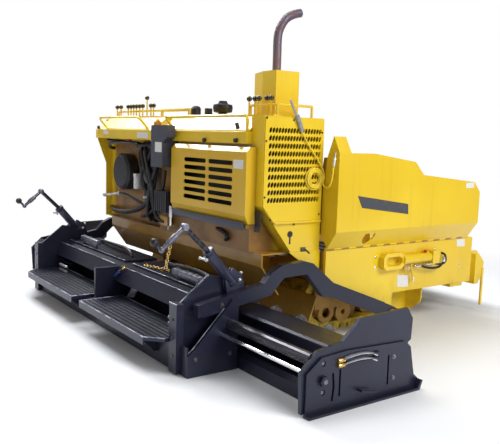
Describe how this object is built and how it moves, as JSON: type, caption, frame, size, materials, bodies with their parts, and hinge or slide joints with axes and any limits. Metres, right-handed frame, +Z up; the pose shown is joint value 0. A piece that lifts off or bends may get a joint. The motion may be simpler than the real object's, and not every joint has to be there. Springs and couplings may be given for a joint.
{
  "type": "asphalt paver",
  "caption": "Tracked asphalt paver: front hopper with folding wings, slat conveyors, spreading augers, rear console and a towed extending screed.",
  "frame": {"origin": "on the ground under the middle of the overall length and width, with the screed down and both extensions out", "axes": "+Y forward towards the hopper, +X to the machine's right, +Z up"},
  "size_m": [4.0326, 3.022, 2.1106],
  "materials": {
    "yellow_paint": "gloss",
    "worn_steel": "worn",
    "radiator_black": "matt",
    "cast_iron": "matt",
    "black_plastic": "satin",
    "canister_white": "satin",
    "dark_paint": "satin",
    "amber_lens": "gloss",
    "scorched_steel": "scorched",
    "urethane_pads": "worn",
    "chrome": "polished",
    "hose_rubber": "satin",
    "lance_grey": "satin",
    "hose_yellow": "satin",
    "guide_tube_steel": "oiled"
  },
  "bodies": {
    "tractor": {"main_frame": "yellow_paint", "box_side_right": "yellow_paint", "box_side_left": "yellow_paint", "conveyor_right": "worn_steel", "conveyor_left": "worn_steel", "engine_housing": "yellow_paint", "side_panel_right": "yellow_paint", "side_panel_left": "yellow_paint", "radiator": "radiator_black", "engine": "cast_iron", "drum": "black_plastic", "oil_filter": "canister_white", "control_box": "dark_paint", "beacon": "amber_lens", "exhaust_box": "yellow_paint", "exhaust_stack": "scorched_steel", "pre_cleaner": "black_plastic", "filler_cap": "black_plastic", "valve_box": "black_plastic", "lever_bank_left": "yellow_paint", "lever_bank_right": "yellow_paint", "track_right": "urethane_pads", "track_left": "urethane_pads", "track_frame_right": "yellow_paint", "track_frame_left": "yellow_paint", "push_frame": "yellow_paint", "auger_case": "yellow_paint", "lashing_plate_right": "yellow_paint", "lashing_plate_left": "yellow_paint", "service_box": "black_plastic", "lift_ram": "chrome", "hose_bundle": "hose_rubber", "wash_lance": "lance_grey", "wash_hose": "hose_yellow", "wash_coil": "hose_yellow", "wash_tail": "hose_yellow", "wash_nozzle": "chrome"},
    "wing_right": {"hopper_wing_right": "yellow_paint"},
    "wing_left": {"hopper_wing_left": "yellow_paint"},
    "door": {"rear_door": "yellow_paint"},
    "truck_roller_right": {"push_roller_right": "worn_steel"},
    "truck_roller_left": {"push_roller_left": "worn_steel"},
    "spreader_right": {"auger_right": "worn_steel"},
    "spreader_left": {"auger_left": "worn_steel"},
    "screed": {"screed_frame": "dark_paint", "tow_arm_right": "dark_paint", "tow_arm_left": "dark_paint", "walkway_right": "dark_paint", "walkway_left": "dark_paint", "jackscrew_right": "dark_paint", "jackscrew_left": "dark_paint"},
    "extender_right": {"extension_right": "dark_paint", "guide_tube_right": "guide_tube_steel", "slide_rod_right": "chrome", "end_gate_right": "dark_paint"},
    "extender_left": {"extension_left": "dark_paint", "guide_tube_left": "guide_tube_steel", "slide_rod_left": "chrome", "end_gate_left": "dark_paint"}
  },
  "joints": [
    {"name": "wing_fold_right", "type": "hinge", "parent": "tractor", "child": "wing_right", "pos_m": [1.17, 0.38848, 0.615], "axis": [0, -1, 0], "range_deg": [0, 60]},
    {"name": "wing_fold_left", "type": "hinge", "parent": "tractor", "child": "wing_left", "pos_m": [-1.17, 0.38848, 0.615], "axis": [0, 1, 0], "range_deg": [0, 60]},
    {"name": "door_swing", "type": "hinge", "parent": "tractor", "child": "door", "pos_m": [0.6, -0.80402, 0.765], "axis": [1, 0, 0], "range_deg": [0, 80]},
    {"name": "truck_roller_turn_right", "type": "hinge", "parent": "tractor", "child": "truck_roller_right", "pos_m": [0.515, 1.43098, 0.335], "axis": [1, 0, 0], "continuous": true},
    {"name": "truck_roller_turn_left", "type": "hinge", "parent": "tractor", "child": "truck_roller_left", "pos_m": [-0.515, 1.43098, 0.335], "axis": [1, 0, 0], "continuous": true},
    {"name": "auger_turn_right", "type": "hinge", "parent": "tractor", "child": "spreader_right", "pos_m": [0.8525, -0.63902, 0.165], "axis": [1, 0, 0], "continuous": true},
    {"name": "auger_turn_left", "type": "hinge", "parent": "tractor", "child": "spreader_left", "pos_m": [-0.8525, -0.63902, 0.165], "axis": [1, 0, 0], "continuous": true},
    {"name": "screed_lift", "type": "hinge", "parent": "tractor", "child": "screed", "pos_m": [0, 0.25098, 0.15], "axis": [-1, 0, 0], "range_deg": [0, 10]},
    {"name": "screed_widen_right", "type": "slide", "parent": "screed", "child": "extender_right", "axis": [1, 0, 0], "range_m": [-0.28, 0]},
    {"name": "screed_widen_left", "type": "slide", "parent": "screed", "child": "extender_left", "axis": [-1, 0, 0], "range_m": [-0.28, 0]}
  ]
}
